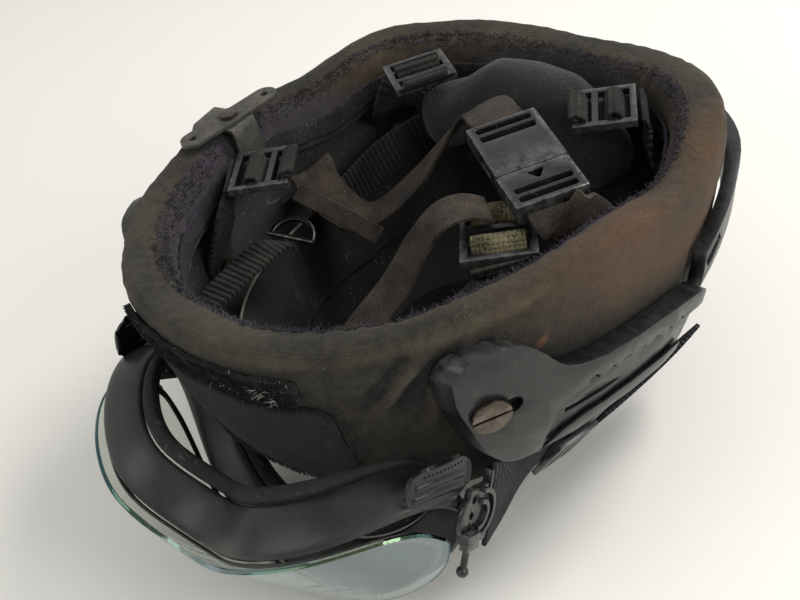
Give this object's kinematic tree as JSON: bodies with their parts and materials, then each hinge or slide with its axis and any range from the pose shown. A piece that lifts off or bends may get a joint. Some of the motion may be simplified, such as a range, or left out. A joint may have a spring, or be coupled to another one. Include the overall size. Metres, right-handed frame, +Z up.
{
  "type": "ballistic helmet with strapped goggles",
  "caption": "Open-bottom ballistic helmet lying crown down, with a fabric cover, side rails, chin webbing, padding and goggles strapped round the front.",
  "frame": {"origin": "middle of the small flat at the crown that the cover rests on, helmet lying crown down", "axes": "+X to the wearer's right, +Y to the back of the head, +Z up out of the opening"},
  "size_m": [0.2572, 0.3285, 0.1667],
  "materials": {
    "shell": "matt",
    "cover_cloth": "woven",
    "trim_rubber": "matt",
    "hem_cloth": "woven",
    "pile": "pile",
    "badge_cloth": "woven",
    "rail_plastic": "satin",
    "bolt_steel": "worn",
    "strap_cloth": "woven",
    "clip_metal": "weathered",
    "pad_cloth": "matt",
    "pad_vinyl": "smooth",
    "nape_cloth": "woven",
    "webbing_black": "ribbed",
    "webbing_brown": "ribbed",
    "buckle_plastic": "gloss",
    "ring_steel": "worn",
    "goggle_rubber": "satin",
    "goggle_lens": "clear",
    "foam": "open cell"
  },
  "bodies": {
    "helmet": {"ballistic_shell": "shell", "edge_trim": "trim_rubber", "fabric_cover": "cover_cloth", "cover_hem": "hem_cloth", "loop_strip": "pile", "badge_patch": "badge_cloth", "rail_right": "rail_plastic", "rail_left": "rail_plastic", "rail_blade_right": "rail_plastic", "rail_blade_left": "rail_plastic", "rail_tail_right": "rail_plastic", "rail_tail_left": "rail_plastic", "rail_bolts": "bolt_steel", "goggle_strap": "strap_cloth", "strap_tail": "strap_cloth", "brim_clip_hook": "clip_metal", "brim_clip_plate": "clip_metal", "brim_clip_rivet": "bolt_steel", "crown_pad": "pad_cloth", "front_pad": "pad_vinyl", "side_pad_right": "pad_cloth", "side_pad_left": "pad_cloth", "rear_pad": "pad_cloth", "nape_pad": "nape_cloth", "headband": "pad_vinyl", "anchor_webs": "webbing_black", "anchor_rivets": "bolt_steel", "chin_web_right": "webbing_brown", "chin_web_left": "webbing_brown", "chin_web_loop": "webbing_brown", "buckle_socket": "buckle_plastic", "buckle_plug": "buckle_plastic", "ring_loop": "webbing_black", "outrigger_right": "buckle_plastic", "outrigger_left": "buckle_plastic"},
    "goggles": {"goggle_frame": "goggle_rubber", "goggle_lens": "goggle_lens", "lens_retainer": "goggle_rubber", "face_foam": "foam"},
    "adjuster_front_right": {"adjuster_front_right": "buckle_plastic"},
    "adjuster_front_left": {"adjuster_front_left": "buckle_plastic"},
    "adjuster_rear_right": {"adjuster_rear_right": "buckle_plastic"},
    "adjuster_rear_left": {"adjuster_rear_left": "buckle_plastic"},
    "prong_upper": {"buckle_prong_upper": "buckle_plastic"},
    "prong_lower": {"buckle_prong_lower": "buckle_plastic"},
    "lever_right": {"latch_lever_right": "buckle_plastic"},
    "lever_left": {"latch_lever_left": "buckle_plastic"},
    "strap_slider_body": {"strap_slider": "buckle_plastic"},
    "ring": {"d_ring": "ring_steel"}
  },
  "joints": [
    {"name": "goggles_tilt", "type": "hinge", "parent": "helmet", "child": "goggles", "pos_m": [0, -0.11015, 0.07572], "axis": [1, 0, 0], "range_deg": [-18, 0]},
    {"name": "adjuster_front_right_tilt", "type": "hinge", "parent": "helmet", "child": "adjuster_front_right", "pos_m": [0.07703, -0.03485, 0.14631], "axis": [-0.7954, -0.606, 0], "range_deg": [0, 10]},
    {"name": "adjuster_front_left_tilt", "type": "hinge", "parent": "helmet", "child": "adjuster_front_left", "pos_m": [-0.08092, -0.04211, 0.15], "axis": [-0.6074, 0.7944, 0], "range_deg": [-6, 10]},
    {"name": "adjuster_rear_right_tilt", "type": "hinge", "parent": "helmet", "child": "adjuster_rear_right", "pos_m": [0.06433, 0.08854, 0.146], "axis": [0.5692, -0.8222, 0], "range_deg": [-6, 8]},
    {"name": "adjuster_rear_left_tilt", "type": "hinge", "parent": "helmet", "child": "adjuster_rear_left", "pos_m": [-0.07248, 0.08232, 0.146], "axis": [0.5547, 0.8321, 0], "range_deg": [-6, 8]},
    {"name": "prong_upper_flex", "type": "hinge", "parent": "helmet", "child": "prong_upper", "pos_m": [0.06986, 0.01446, 0.15983], "axis": [0.0505, -0.0324, 0.9982], "range_deg": [0, 8], "stiffness_Nm_per_rad": 0.03},
    {"name": "prong_lower_flex", "type": "hinge", "parent": "helmet", "child": "prong_lower", "pos_m": [0.06089, 0.00049, 0.15983], "axis": [-0.0505, 0.0324, -0.9982], "range_deg": [0, 8], "stiffness_Nm_per_rad": 0.03},
    {"name": "lever_right_turn", "type": "hinge", "parent": "helmet", "child": "lever_right", "pos_m": [0.1031, -0.11373, 0.06618], "axis": [1, 0, 0], "range_deg": [-20, 20]},
    {"name": "lever_left_turn", "type": "hinge", "parent": "helmet", "child": "lever_left", "pos_m": [-0.1031, -0.11373, 0.06618], "axis": [1, 0, 0], "range_deg": [-20, 20]},
    {"name": "slider_slide", "type": "slide", "parent": "helmet", "child": "strap_slider_body", "axis": [0.2419, 0.9703, 0], "range_m": [-0.006, 0.004]},
    {"name": "ring_swing", "type": "hinge", "parent": "helmet", "child": "ring", "pos_m": [-0.057, -0.038, 0.116], "axis": [0.9254, 0.3368, -0.1736], "range_deg": [-20, 20]}
  ]
}
